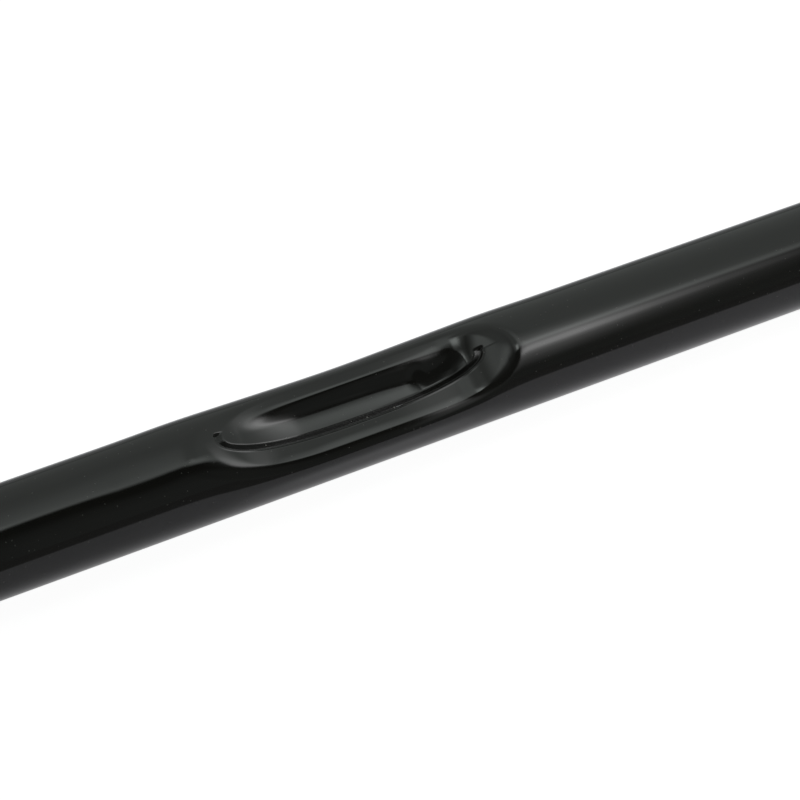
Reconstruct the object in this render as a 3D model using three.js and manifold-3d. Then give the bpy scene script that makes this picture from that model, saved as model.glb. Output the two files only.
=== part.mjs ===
// A 3/4 inch square drive breaker bar with a hinged head and a black tubular handle.
// Millimetres, +Z up. The bar lies along X on the flat of its fork, head at -X, grip at +X.
// Every piece is drawn in the bar's own frame: X along the bar, origin on the head's hinge axis.
// The last lines move the whole bar so that the origin is under its middle, on the ground.

import * as THREE from "three";
import { mergeVertices } from "three/addons/utils/BufferGeometryUtils.js";
import Module from "manifold-3d";

const wasm = await Module();
wasm.setup();

// ---------- driving dimensions ----------

const driveSquare = 19.05; // 3/4 inch across flats
const driveLength = 25;
const overallLength = 610;
const forkWidth = 40; // over the two ears, along the hinge
const gap = 0.3; // between faces that touch on the real bar

const tube = { radius: 14, wall: 3, start: 52.3, end: 541 };
const bore = tube.radius - tube.wall;

// The long dent that locks the fork's shank in the tube.
// s runs along the bar from the dent's middle, the angle runs round the tube from its centreline.
const dent = {
  fromMouth: 130, // tube mouth to the dent's middle
  tilt: 30, // degrees from straight up, towards -Y
  halfLength: 38,
  halfWidth: 6.2,
  aside: 0.8, // the groove lies this far above the dent's middle line
  depth: 3.1, // groove below the flattened land
  land: 9.9, // height of the flattened land above the tube's axis
  landReach: 57, // half the length over which the wall is flattened
  landFade: 34, // length over which the flattening fades out, each way
  landRound: 1.5, // rounding where the land meets the round wall
  steepEnd: 15, // run-out at the grip end of the groove
  easyEnd: 34, // run-out at the head end of the groove
};
const dentMiddle = tube.start + dent.fromMouth;

const barrel = { radius: 17.5, width: 21 }; // the head's round hinge eye
const collar = { radius: 14, from: 25, to: 30 }; // shoulder that stops a socket
const hinge = { shoulder: 6.3, bore: 6.6, thread: 5, tapped: 5.3 };
const washer = { radius: 15, thick: 0.8, clearance: 0.2 };
const slotHalf = barrel.width / 2 + washer.thick + 2 * washer.clearance;
const earRadius = 19;
const slotEnd = 18.3; // bottom of the fork's slot
const shank = { radius: bore - gap, end: tube.start + dent.fromMouth + 58 };

const ball = { radius: 3, stickOut: 1.1, fromShoulder: 13 };
const plunger = { radius: 3.2, bore: 3.6, length: 9 };
const plungerBoreEnd = 38;

const grip = { radius: 17.5, from: 386, flange: 18.6 };
const cap = { radius: forkWidth / 2, thick: overallLength - (collar.to + driveLength) - tube.end - gap };
const screwM5 = { radius: 2.5, head: 5, sink: 2.8 };

// ---------- materials ----------

function finish(color, roughness, metalness) {
  return new THREE.MeshStandardMaterial({ color, roughness, metalness });
}

const blackEnamel = finish(0x0b0b0b, 0.12, 0.0);
const chrome = finish(0xc9ccd0, 0.18, 1.0);
const hardSteel = finish(0x7d7f82, 0.35, 1.0);
const springSteel = finish(0x9a9da0, 0.3, 1.0);
const darkSteel = finish(0x26272a, 0.45, 0.8);
const blackRubber = finish(0x151515, 0.8, 0.0);
const blackPlastic = finish(0x1b1b1c, 0.5, 0.0);

// ---------- solids ----------

// A closed three.js geometry as a manifold solid.
function solid(geometry) {
  const bare = geometry.index ? geometry.toNonIndexed() : geometry.clone();
  bare.deleteAttribute("normal");
  bare.deleteAttribute("uv");
  const merged = mergeVertices(bare, 1e-4);
  return new wasm.Manifold(
    new wasm.Mesh({
      numProp: 3,
      vertProperties: merged.attributes.position.array,
      triVerts: new Uint32Array(merged.index.array),
    }),
  );
}

// A manifold solid back as a three.js geometry.
function geometryOf(body) {
  const cut = body.getMesh();
  const geometry = new THREE.BufferGeometry();
  geometry.setAttribute("position", new THREE.BufferAttribute(cut.vertProperties, cut.numProp));
  geometry.setIndex(new THREE.BufferAttribute(cut.triVerts, 1));
  geometry.computeVertexNormals();
  return geometry;
}

// A profile of [distance along the bar, radius] pairs spun about the X axis.
function spinX(profile, segments) {
  const points = profile.map(([along, radius]) => new THREE.Vector2(radius, along));
  return new THREE.LatheGeometry(points, segments).rotateZ(-Math.PI / 2);
}

// The same about the hinge's direction, Z: the pairs are [height, radius].
function spinZ(profile, segments) {
  const points = profile.map(([along, radius]) => new THREE.Vector2(radius, along));
  return new THREE.LatheGeometry(points, segments).rotateX(Math.PI / 2);
}

function rodX(radius, from, to, segments = 32) {
  return spinX([[from, 0], [from, radius], [to, radius], [to, 0]], segments);
}

function rodZ(radius, from, to, segments = 32) {
  return spinZ([[from, 0], [from, radius], [to, radius], [to, 0]], segments);
}

function box(x0, x1, y0, y1, z0, z1) {
  const geometry = new THREE.BoxGeometry(x1 - x0, y1 - y0, z1 - z0);
  return geometry.translate((x0 + x1) / 2, (y0 + y1) / 2, (z0 + z1) / 2);
}

// A flat outline in X and Y, thickened along Z between two heights.
function plate(outline, from, to, curveSegments = 12) {
  const options = { depth: to - from, bevelEnabled: false, curveSegments };
  return new THREE.ExtrudeGeometry(outline, options).translate(0, 0, from);
}

// A hexagonal prism for a key socket, along Z.
function hexZ(acrossFlats, from, to) {
  return rodZ(acrossFlats / Math.sqrt(3), from, to, 6);
}

// A round wire wound into a spring along X, its ends closed by flat caps.
function coilSpring(coilRadius, wireRadius, from, to, turns) {
  const stepsPerTurn = 12;
  const steps = Math.round(turns * stepsPerTurn);
  const run = to - from - 2 * wireRadius;
  const points = [];
  for (let i = 0; i <= steps; i += 1) {
    const turn = (i / stepsPerTurn) * 2 * Math.PI;
    const along = from + wireRadius + (run * i) / steps;
    points.push(new THREE.Vector3(along, coilRadius * Math.cos(turn), coilRadius * Math.sin(turn)));
  }
  const path = new THREE.CatmullRomCurve3(points);
  const section = new THREE.Shape().absarc(0, 0, wireRadius, 0, 2 * Math.PI);
  return new THREE.ExtrudeGeometry(section, { steps, extrudePath: path, curveSegments: 3 });
}

function piece(name, geometry, material) {
  const mesh = new THREE.Mesh(geometry, material);
  mesh.name = name;
  return mesh;
}

// ---------- the dent ----------

function ease(from, to, x) {
  const t = Math.min(1, Math.max(0, (x - from) / (to - from)));
  return t * t * (3 - 2 * t);
}

// The lower of two heights, rounded over where they cross.
function softLower(a, b, round) {
  const h = Math.max(0, round - Math.abs(a - b)) / round;
  return Math.min(a, b) - (h * h * round) / 4;
}

// How far the wall moves inwards, along the dent's own direction, at a place on the tube.
// grow makes a slightly larger dent, for the pocket that the dent is pressed into.
function dentDrop(s, angle, grow = 0) {
  const facing = Math.cos(angle);
  if (facing <= 0) return 0;
  const round = tube.radius * facing;
  const across = tube.radius * Math.sin(angle);
  const flattened = ease(dent.landReach, dent.landReach - dent.landFade, Math.abs(s));
  const landHeight = THREE.MathUtils.lerp(tube.radius + dent.landRound, dent.land, flattened);
  const flatDrop = round - softLower(round, landHeight, dent.landRound);
  const length = dent.halfLength + grow;
  const alongShape =
    ease(-length, -length + dent.easyEnd, s) * ease(length, length - dent.steepEnd, s);
  const u = Math.min(1, Math.abs(across - dent.aside) / (dent.halfWidth + grow));
  const acrossShape = (1 - u * u) ** 1.5;
  const groove = (dent.depth + (grow > 0 ? gap : 0)) * alongShape * acrossShape;
  return flatDrop * ease(0, 0.25, facing) + groove;
}

// Crowds a spun geometry's segments towards the dent, then presses the dent into it.
function pressDent(geometry, grow = 0) {
  const crowding = 0.55;
  const tilt = THREE.MathUtils.degToRad(dent.tilt);
  const position = geometry.attributes.position;
  for (let i = 0; i < position.count; i += 1) {
    const x = position.getX(i);
    const radius = Math.hypot(position.getY(i), position.getZ(i));
    const even = Math.atan2(position.getY(i), position.getZ(i));
    const angle = even - crowding * Math.sin(even);
    const drop = radius > 1 ? dentDrop(x - dentMiddle, angle, grow) : 0;
    const across = radius * Math.sin(angle);
    const height = radius * Math.cos(angle) - drop;
    position.setY(i, across * Math.cos(tilt) - height * Math.sin(tilt));
    position.setZ(i, across * Math.sin(tilt) + height * Math.cos(tilt));
  }
  return geometry;
}

// Places along the tube where it needs a ring of points: close together in the dent only.
function dentRings() {
  const spacing = 5;
  const count = Math.round((2 * dent.landReach) / spacing);
  const rings = [];
  for (let i = 0; i <= count; i += 1) {
    rings.push(dentMiddle - dent.landReach + (2 * dent.landReach * i) / count);
  }
  return rings;
}

// ---------- the hinged head ----------

function driveTang() {
  const half = driveSquare / 2;
  const corner = 1.6;
  const chamfer = 1.4;
  const inner = half - corner;
  const square = new THREE.Shape()
    .moveTo(inner, -half)
    .absarc(inner, -inner, corner, -Math.PI / 2, 0)
    .absarc(inner, inner, corner, 0, Math.PI / 2)
    .absarc(-inner, inner, corner, Math.PI / 2, Math.PI)
    .absarc(-inner, -inner, corner, Math.PI, 1.5 * Math.PI);
  const bar = new THREE.ExtrudeGeometry(square, {
    depth: driveLength,
    bevelThickness: chamfer,
    bevelSize: chamfer,
    bevelOffset: -chamfer,
    bevelSegments: 1,
    curveSegments: 3,
  });
  bar.translate(0, 0, -driveLength / 2);
  bar.rotateY(Math.PI / 2);
  bar.translate(-collar.to - driveLength / 2 + chamfer, 0, 0);

  const neckOutline = new THREE.Shape()
    .moveTo(0, -14.6)
    .lineTo(0, 14.6)
    .lineTo(-collar.from - 1, 13)
    .lineTo(-collar.from - 1, -13);
  const neck = plate(neckOutline, -barrel.width / 2, barrel.width / 2);
  const neckRound = spinX(
    [
      [-collar.from - 1, 0],
      [-collar.from - 1, collar.radius - 1],
      [-16, barrel.radius + 0.7],
      [1, barrel.radius + 0.7],
      [1, 0],
    ],
    48,
  );
  const shoulder = spinX(
    [
      [-collar.to, 0],
      [-collar.to, collar.radius - 1],
      [-collar.to + 1, collar.radius],
      [-collar.from - 1, collar.radius],
      [-collar.from + 2, collar.radius - 2.6],
      [-collar.from + 2, 0],
    ],
    40,
  );
  const eye = rodZ(barrel.radius, -barrel.width / 2, barrel.width / 2, 56);
  const pinHole = rodZ(hinge.bore, -forkWidth, forkWidth, 32);

  // The ball sits in a blind hole in the top flat, behind a narrower lip.
  const lip = 0.5;
  const hole = spinZ(
    [
      [half - 14.5, 0],
      [half - 14.5, ball.radius + 0.4],
      [half - lip, ball.radius + 0.4],
      [half - lip, ball.radius - 0.1],
      [half + 1, ball.radius - 0.1],
      [half + 1, 0],
    ],
    20,
  ).translate(-collar.to - ball.fromShoulder, 0, 0);

  const body = solid(bar)
    .add(solid(neck).intersect(solid(neckRound)))
    .add(solid(shoulder))
    .add(solid(eye))
    .subtract(solid(pinHole))
    .subtract(solid(hole));
  return piece("drive_tang", geometryOf(body), chrome);
}

function socketBall() {
  const mesh = piece("socket_ball", new THREE.SphereGeometry(ball.radius, 16, 12), hardSteel);
  mesh.position.set(
    -collar.to - ball.fromShoulder,
    0,
    driveSquare / 2 + ball.stickOut - ball.radius,
  );
  return mesh;
}

function socketBallSpring() {
  const bottom = driveSquare / 2 - 14.5 + gap;
  const top = driveSquare / 2 + ball.stickOut - 2 * ball.radius - gap;
  const mesh = piece("socket_ball_spring", coilSpring(2.1, 0.35, bottom, top, 5), springSteel);
  mesh.rotation.y = -Math.PI / 2;
  mesh.position.x = -collar.to - ball.fromShoulder;
  return mesh;
}

function thrustWasher(name, side) {
  const near = barrel.width / 2 + washer.clearance;
  const far = near + washer.thick;
  const ring = spinZ(
    [
      [near, hinge.bore],
      [near, washer.radius],
      [far, washer.radius],
      [far, hinge.bore],
      [near, hinge.bore],
    ],
    40,
  );
  const mesh = piece(name, ring, hardSteel);
  mesh.rotation.x = side > 0 ? 0 : Math.PI;
  return mesh;
}

// ---------- the fork and its hinge screw ----------

const headSeat = { radius: 9.8, depth: 6 }; // counterbore in the top ear
const grub = { radius: 2, bore: 2.3, height: -(slotHalf + forkWidth / 2) / 2 };

function fork() {
  const half = forkWidth / 2;
  const bodyEnd = 46;
  const shoulderRadius = 15.6;
  const sideways = new THREE.Shape()
    .moveTo(bodyEnd, -shoulderRadius)
    .lineTo(bodyEnd, shoulderRadius)
    .lineTo(38, 17)
    .lineTo(0, earRadius)
    .absarc(0, 0, earRadius, Math.PI / 2, 1.5 * Math.PI)
    .lineTo(38, -17);
  const upright = new THREE.Shape()
    .moveTo(-earRadius - 1, -half)
    .lineTo(25, -half)
    .lineTo(bodyEnd, -shoulderRadius)
    .lineTo(bodyEnd, shoulderRadius)
    .lineTo(25, half)
    .lineTo(-earRadius - 1, half);
  const block = solid(plate(sideways, -half, half, 20));
  const taper = solid(plate(upright, -half, half).rotateX(Math.PI / 2));
  const turned = solid(
    spinX(
      [
        [-earRadius - 1, 0],
        [-earRadius - 1, 24.6],
        [27, 24.6],
        [40, 18.4],
        [bodyEnd, shoulderRadius + 0.4],
        [bodyEnd, 0],
      ],
      64,
    ),
  );

  const rings = dentRings().filter((x) => x < shank.end - 3);
  const round = spinX(
    [
      [bodyEnd - 6, 0],
      [bodyEnd - 6, shoulderRadius],
      [tube.start - gap, shoulderRadius],
      [tube.start - gap, shank.radius],
      ...rings.map((x) => [x, shank.radius]),
      [shank.end - 2, shank.radius],
      [shank.end, shank.radius - 2],
      [shank.end, 0],
    ],
    40,
  );
  const stem = solid(pressDent(round, 0.7));

  const slot = solid(box(-earRadius - 2, slotEnd, -half, half, -slotHalf, slotHalf));
  const pinHole = solid(rodZ(hinge.bore, -slotHalf - 1, half - headSeat.depth + 1, 32));
  const tapped = solid(rodZ(hinge.tapped, -half - 1, -slotHalf + 1, 32));
  const seat = solid(rodZ(headSeat.radius, half - headSeat.depth, half + 1, 40));
  const plungerHole = solid(rodX(plunger.bore, slotEnd - 1, plungerBoreEnd, 24));
  const grubHole = solid(
    rodX(grub.bore, hinge.thread + 0.1, earRadius + 1, 16)
      .rotateZ(Math.PI / 2)
      .translate(0, 0, grub.height),
  );
  const body = block
    .intersect(taper)
    .intersect(turned)
    .add(stem)
    .subtract(slot)
    .subtract(pinHole)
    .subtract(tapped)
    .subtract(seat)
    .subtract(plungerHole)
    .subtract(grubHole);
  return piece("fork", geometryOf(body), chrome);
}

function hingeScrew() {
  const top = forkWidth / 2 - 0.6;
  const underHead = forkWidth / 2 - headSeat.depth + gap;
  const shaft = spinZ(
    [
      [-forkWidth / 2 + 0.6, 0],
      [-forkWidth / 2 + 0.6, hinge.thread - 0.8],
      [-forkWidth / 2 + 1.4, hinge.thread],
      [-slotHalf - 0.1, hinge.thread],
      [-slotHalf + 0.4, hinge.shoulder],
      [underHead, hinge.shoulder],
      [underHead, headSeat.radius - 0.4],
      [top - 0.7, headSeat.radius - 0.4],
      [top, headSeat.radius - 1.1],
      [top, 0],
    ],
    40,
  );
  const body = solid(shaft).subtract(solid(hexZ(8, top - 3.6, top + 1)));
  return piece("hinge_screw", geometryOf(body), darkSteel);
}

// A small grub screw in the lower ear's edge, tight against the hinge screw's thread.
function hingeLockScrew() {
  const tip = hinge.thread + gap;
  const outer = earRadius - 1.2;
  const body = solid(rodX(grub.radius, tip, outer, 16)).subtract(
    solid(hexZ(2, 0, 2.2).rotateY(Math.PI / 2).translate(outer - 2, 0, 0)),
  );
  const mesh = piece("hinge_lock_screw", geometryOf(body), darkSteel);
  mesh.rotation.z = Math.PI / 2;
  mesh.position.z = grub.height;
  return mesh;
}

function frictionPlunger() {
  const nose = barrel.radius + gap;
  const body = spinX(
    [
      [nose, 0],
      [nose + 0.3, 1.4],
      [nose + 1.4, plunger.radius - 0.5],
      [nose + 2.2, plunger.radius],
      [nose + plunger.length, plunger.radius],
      [nose + plunger.length, 0],
    ],
    24,
  );
  return piece("friction_plunger", body, hardSteel);
}

function frictionSpring() {
  const from = barrel.radius + plunger.length + 2 * gap;
  return piece(
    "friction_spring",
    coilSpring(2.5, 0.45, from, plungerBoreEnd - gap, 5),
    springSteel,
  );
}

// ---------- the handle ----------

function handleTube() {
  const lip = 0.8;
  const outside = [
    [tube.start, tube.radius - lip],
    [tube.start + lip, tube.radius],
    ...dentRings().map((x) => [x, tube.radius]),
    [tube.end - lip, tube.radius],
    [tube.end, tube.radius - lip],
  ];
  const inside = [
    [tube.end, bore],
    ...dentRings()
      .map((x) => [x, bore])
      .reverse(),
    [tube.start, bore],
  ];
  const profile = [...outside, ...inside, outside[0]];
  return piece("handle_tube", pressDent(spinX(profile, 40)), blackEnamel);
}

function gripSleeve() {
  const inner = tube.radius + gap;
  const ribs = 7;
  const ribPitch = 17;
  const dip = 1.1;
  const firstRib = grip.from + 17;
  const outside = [
    [grip.from, inner],
    [grip.from, grip.flange - 1],
    [grip.from + 1, grip.flange],
    [grip.from + 5, grip.flange],
    [grip.from + 8, grip.radius],
  ];
  for (let i = 0; i < ribs; i += 1) {
    const x = firstRib + i * ribPitch;
    outside.push([x - 2.5, grip.radius], [x, grip.radius - dip], [x + 2.5, grip.radius]);
  }
  const profile = [
    ...outside,
    [tube.end - 1, grip.radius],
    [tube.end, grip.radius - 1],
    [tube.end, inner],
    [grip.from, inner],
  ];
  return piece("grip_sleeve", spinX(profile, 36), blackRubber);
}

function gripCollar() {
  const inner = tube.radius + gap;
  const from = grip.from - gap - 6;
  const to = grip.from - gap;
  const profile = [
    [from, inner],
    [from, inner + 1],
    [from + 1.5, inner + 2.2],
    [to, inner + 2.2],
    [to, inner],
    [from, inner],
  ];
  return piece("grip_collar", spinX(profile, 36), hardSteel);
}

const plugLength = 30;

function tubePlug() {
  const threadHole = screwM5.radius + gap;
  const from = tube.end - plugLength;
  const to = tube.end - 0.5;
  const profile = [
    [from, threadHole],
    [from, bore - gap - 1.5],
    [from + 1.5, bore - gap],
    [to, bore - gap],
    [to, threadHole],
    [from, threadHole],
  ];
  return piece("tube_plug", spinX(profile, 28), hardSteel);
}

function endCap() {
  const hole = screwM5.radius + gap + 0.1;
  const from = tube.end + gap;
  const to = from + cap.thick;
  const sink = screwM5.sink + 0.4;
  const profile = [
    [from, hole],
    [from, cap.radius - 1.2],
    [from + 1.2, cap.radius],
    [to - 6, cap.radius],
    [to - 2.4, cap.radius - 1.6],
    [to - 0.6, cap.radius - 4.4],
    [to, cap.radius - 8],
    [to, screwM5.head + gap + 0.1],
    [to - sink, hole],
    [from, hole],
  ];
  return piece("end_cap", spinX(profile, 48), blackPlastic);
}

function capScrew() {
  const top = tube.end + gap + cap.thick - 0.4;
  const body = spinX(
    [
      [tube.end - 20, 0],
      [tube.end - 20, screwM5.radius - 0.6],
      [tube.end - 19.2, screwM5.radius],
      [top - screwM5.sink, screwM5.radius],
      [top, screwM5.head],
      [top, 0],
    ],
    20,
  );
  const key = hexZ(3, 0, 4).rotateY(Math.PI / 2).translate(top - 2, 0, 0);
  return piece("cap_screw", geometryOf(solid(body).subtract(solid(key))), darkSteel);
}

// ---------- the bar ----------

const head = new THREE.Group();
head.add(
  driveTang(),
  socketBall(),
  socketBallSpring(),
  thrustWasher("thrust_washer_top", 1),
  thrustWasher("thrust_washer_bottom", -1),
);

const handle = new THREE.Group();
handle.add(
  fork(),
  hingeScrew(),
  hingeLockScrew(),
  frictionPlunger(),
  frictionSpring(),
  handleTube(),
  gripCollar(),
  gripSleeve(),
  tubePlug(),
  endCap(),
  capScrew(),
);

const breakerBar = new THREE.Group();
breakerBar.add(head, handle);
breakerBar.position.set(collar.to + driveLength - overallLength / 2, 0, forkWidth / 2);

export default breakerBar;
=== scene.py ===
# Breaker bar: hinged square-drive head, black enamelled tube with its locking dent, rubber grip.
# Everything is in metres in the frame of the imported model: X along the bar, +Z up, ground at z = 0.

import math

import bmesh
import bpy
from mathutils import Matrix, Vector


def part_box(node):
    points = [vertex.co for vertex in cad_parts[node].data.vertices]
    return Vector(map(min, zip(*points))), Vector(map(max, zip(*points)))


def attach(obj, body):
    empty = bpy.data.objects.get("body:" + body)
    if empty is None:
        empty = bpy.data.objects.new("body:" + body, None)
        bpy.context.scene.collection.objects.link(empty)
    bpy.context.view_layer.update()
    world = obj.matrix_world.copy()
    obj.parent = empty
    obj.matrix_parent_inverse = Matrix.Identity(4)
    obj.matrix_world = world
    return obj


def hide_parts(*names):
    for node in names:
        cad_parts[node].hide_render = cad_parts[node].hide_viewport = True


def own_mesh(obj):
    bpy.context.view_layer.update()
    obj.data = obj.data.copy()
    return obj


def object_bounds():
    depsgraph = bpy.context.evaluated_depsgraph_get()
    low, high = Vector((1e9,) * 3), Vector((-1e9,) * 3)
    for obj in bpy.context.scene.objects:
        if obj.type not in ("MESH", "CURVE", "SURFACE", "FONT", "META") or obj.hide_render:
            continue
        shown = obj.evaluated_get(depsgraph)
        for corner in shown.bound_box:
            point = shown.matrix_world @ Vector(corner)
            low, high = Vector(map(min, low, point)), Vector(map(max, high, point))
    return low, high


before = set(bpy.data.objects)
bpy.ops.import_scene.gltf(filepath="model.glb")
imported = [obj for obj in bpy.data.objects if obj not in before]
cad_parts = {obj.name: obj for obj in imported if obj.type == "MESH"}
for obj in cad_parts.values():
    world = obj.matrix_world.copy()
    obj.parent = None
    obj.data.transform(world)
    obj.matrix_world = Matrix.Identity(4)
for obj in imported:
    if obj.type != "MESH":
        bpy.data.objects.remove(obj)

cadLow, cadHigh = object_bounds()
mm = 0.001
scene = bpy.context.scene
scene.view_settings.view_transform = "Standard"
print("frame loaded:", len(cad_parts), "nodes")


# where things are, read from the frame
tubeLow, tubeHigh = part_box("handle_tube")
tubeStart, tubeEnd = tubeLow.x, tubeHigh.x
screwLow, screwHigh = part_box("hinge_screw")
hingeX = (screwLow.x + screwHigh.x) / 2
axisHeight = (cadLow.z + cadHigh.z) / 2   # the bar's own centreline above the ground

handle = {
    "radius": 14 * mm,
    "wall": 3 * mm,
    "lip": 0.8 * mm,            # chamfer at both mouths
}
dent = {
    "fromMouth": 130 * mm,      # tube mouth to the dent's middle
    "tilt": 30,                 # degrees from straight up, towards -Y
    "landHeight": 9.85 * mm,    # flattened wall above the tube's centreline
    "landReach": (39.5 * mm, 45.5 * mm),   # how far it stays flattened, head side and grip side
    "cornerRound": 1.0 * mm,    # sharp beside the dent, softer past its ends
    "endRound": (2.2 * mm, 0.9 * mm),
    "cheek": 0.8 * mm,          # swell of the near side, under the land
    "landCrown": 34,            # how round the land gets near that side, per metre
    "tail": 0.25,               # how much of the flattening trails off towards the head
    "lipLength": 39.3 * mm,     # half the length of the sheared lip's outline
    "lipWidth": 7.4 * mm,       # half its width
    "lipMiddle": 2.4 * mm,
    "lipPower": 2.4,
    "lipSlope": 3.0,            # fall of the sheared wall under the lip
    "ledge": 2.3 * mm,          # width of the torn strip inside the lip
    "notch": 1.0 * mm,          # how far the strip dips towards the lip
    "crest": 0.07 * mm,         # burr on the strip's inner edge
    "trough": 1.9 * mm,         # fall of the smooth upper wall
    "rim": 6.5 * mm,            # top of that wall, from the dent's middle
    "wallRun": 5.0 * mm,
    "shoulder": 8.5 * mm,       # where the land starts to lean into the dent
    "shoulderSlope": 0.085,
    "shoulderRun": 2.0 * mm,
    "easyEnd": (-32.5 * mm, 14 * mm),      # the hollow deepens gently between these
    "scoop": 19.5 * mm,         # where the floor starts to climb to the steep end
    "steepEnd": 33.8 * mm,
    "sideDip": 0.6 * mm,        # the tube's far side is drawn in beside the dent
    "sideBulge": 0.2 * mm,      # and swells a little past its two ends
}
dentX = tubeStart + dent["fromMouth"]


def ease(low, high, x):
    t = min(1.0, max(0.0, (x - low) / (high - low)))
    return t * t * (3 - 2 * t)


def softLower(a, b, width):
    h = max(0.0, width - abs(a - b)) / width
    return min(a, b) - h * h * width / 4


# the camera, far away with a long lens

lens = {
    "azimuth": -29.1,           # looks along +Y, a little from the head's side
    "elevation": 40.0,
    "distance": 832 * mm,
    "focal": 142.2,
    "aimPastDent": 16.6 * mm,   # towards the grip
    "aimLower": 0.43 * mm,
}


def placeCamera():
    a = math.radians(lens["azimuth"])
    e = math.radians(lens["elevation"])
    back = Vector((math.sin(a) * math.cos(e), -math.cos(a) * math.cos(e), math.sin(e)))
    aim = Vector((dentX + lens["aimPastDent"], 0, axisHeight - lens["aimLower"]))
    data = bpy.data.cameras.new("productLens")
    data.lens = lens["focal"]
    data.sensor_width = 36
    data.clip_start = 0.01
    data.clip_end = 50
    camera = bpy.data.objects.new("productCamera", data)
    camera.location = aim + back * lens["distance"]
    camera.rotation_mode = "QUATERNION"
    camera.rotation_quaternion = (-back).to_track_quat("-Z", "Y")
    scene.collection.objects.link(camera)
    scene.camera = camera


placeCamera()
print("camera placed")


# short ways to write nodes

def addNode(tree, kind, place=(0, 0), **values):
    node = tree.nodes.new(kind)
    node.location = (place[0] * 200, place[1] * -180)
    for key, value in values.items():
        if hasattr(node, key):
            setattr(node, key, value)
        else:
            node.inputs[key.replace("_", " ")].default_value = value
    return node


def link(tree, source, target):
    tree.links.new(source, target)


def setRamp(node, stops):
    ramp = node.color_ramp
    while len(ramp.elements) > 1:
        ramp.elements.remove(ramp.elements[-1])
    for i, (place, value) in enumerate(stops):
        stop = ramp.elements[0] if i == 0 else ramp.elements.new(place)
        stop.position = place
        colour = value if isinstance(value, tuple) else (value, value, value)
        stop.color = (*colour, 1)


def math2(tree, operation, a, b, place=(0, 0)):
    node = addNode(tree, "ShaderNodeMath", place, operation=operation)
    for socket, value in zip(node.inputs, (a, b)):
        if isinstance(value, (int, float)):
            socket.default_value = value
        else:
            link(tree, value, socket)
    return node.outputs[0]


def mapRange(tree, value, low, high, place=(0, 0), kind="LINEAR"):
    node = addNode(tree, "ShaderNodeMapRange", place, interpolation_type=kind)
    node.inputs["From Min"].default_value = low
    node.inputs["From Max"].default_value = high
    link(tree, value, node.inputs["Value"])
    return node


def mixColour(tree, share, one, two, place=(0, 0), **values):
    # each of the three is a fixed value or a socket
    node = addNode(tree, "ShaderNodeMix", place, data_type="RGBA", **values)
    for number, value in ((0, share), (6, one), (7, two)):
        if isinstance(value, bpy.types.NodeSocket):
            link(tree, value, node.inputs[number])
        else:
            node.inputs[number].default_value = value
    return node.outputs[2]


# the white studio; neighbouring columns of its surroundings share how they fade past the top

pastTop = [(133, 0.55), (172, 0.36), (179, 0.2)]
headFade = [(91, 0.9), (104, 0.72), (118, 0.62), (133, 0.58), (172, 0.36), (179, 0.2)]
middleFade = [(90, 0.7), (118, 0.62), (133, 0.58), (172, 0.36), (179, 0.2)]
gripFade = [(90, 0.76), (118, 0.66), (133, 0.62), (172, 0.42), (179, 0.2)]

studio = {
    # brightness of the surroundings against the angle up from the -Y horizon, over the top, to +Y;
    # each column is for rays that go a little further towards the grip
    "columns": [
        (-0.2, [(0, 0.1), (50, 0.12), (62, 0.35), (69, 1.3), (73, 1.3), (79, 0.6),
                (133, 0.55), (179, 0.2)]),
        (0.04, [(0, 0.1), (50, 0.12), (62, 0.2), (72, 0.5), (95, 0.55)] + pastTop),
        (0.12, [(0, 0.1), (60, 0.1), (66, 0.7), (71, 0.9), (75, 0.65)] + pastTop),
        (0.19, [(0, 0.1), (62, 0.1), (65, 3.6), (69, 3.6), (72, 0.65)] + pastTop),
        (0.23, [(0, 0.1), (62, 0.1), (65, 3.2), (69, 3.2), (73, 0.8)] + pastTop),
        (0.245, [(0, 0.22), (20, 0.22), (38, 0.17), (50, 0.08), (63, 0.06), (68, 1.35),
                 (79, 1.1)] + headFade),
        (0.31, [(0, 0.22), (20, 0.22), (38, 0.17), (50, 0.08), (63, 0.06), (68, 1.35),
                (79, 1.05)] + headFade),
        (0.33, [(0, 0.2), (38, 0.15), (50, 0.08), (61, 0.06), (66, 1.35), (68.5, 1.35),
                (74, 0.76)] + middleFade),
        (0.35, [(0, 0.2), (38, 0.15), (50, 0.08), (61, 0.06), (66, 1.5), (69, 1.9), (71.5, 1.7),
                (75, 0.78)] + middleFade),
        (0.38, [(0, 0.2), (38, 0.17), (50, 0.08), (61, 0.06), (66, 1.7), (68.5, 1.7), (74, 0.76),
                (90, 0.7), (118, 0.64), (133, 0.6), (172, 0.4), (179, 0.2)]),
        (0.42, [(0, 0.2), (38, 0.17), (50, 0.08), (61, 0.1), (66, 1.6), (68.5, 1.6), (75, 0.8)] + gripFade),
        (0.5, [(0, 0.2), (38, 0.17), (50, 0.1), (60, 0.15), (66, 1.25), (69, 1.25), (76, 0.8)] + gripFade),
        (0.65, [(0, 0.1), (48, 0.2), (58, 0.6), (63, 0.9), (69, 0.9), (76, 0.75), (104, 0.7),
                (133, 0.6), (179, 0.12)]),
    ],
    "tint": (0.93, 1.0, 0.965, 1),
    "brightest": 4,             # no stop in the columns is above this
    "floorGlow": 0.95,
    "floorWhite": (0.84, 0.80, 0.86, 1),
    "floorDark": (0.10, 0.10, 0.10, 1),
    "floorBack": (0.28, 0.28, 0.29, 1),
    "floorFrontEdge": 87 * mm,  # as the enamel sees it, the white sheet ends this far in front of the bar
    "floorBackEdge": 100 * mm,
    "sheetGlow": 0.12,          # light that comes up through the sheet
    "paintedUnderGlow": 0.42,          # painted light: the sheet glows brighter right under the bar, painted over the bar's own shadow there
}


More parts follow.
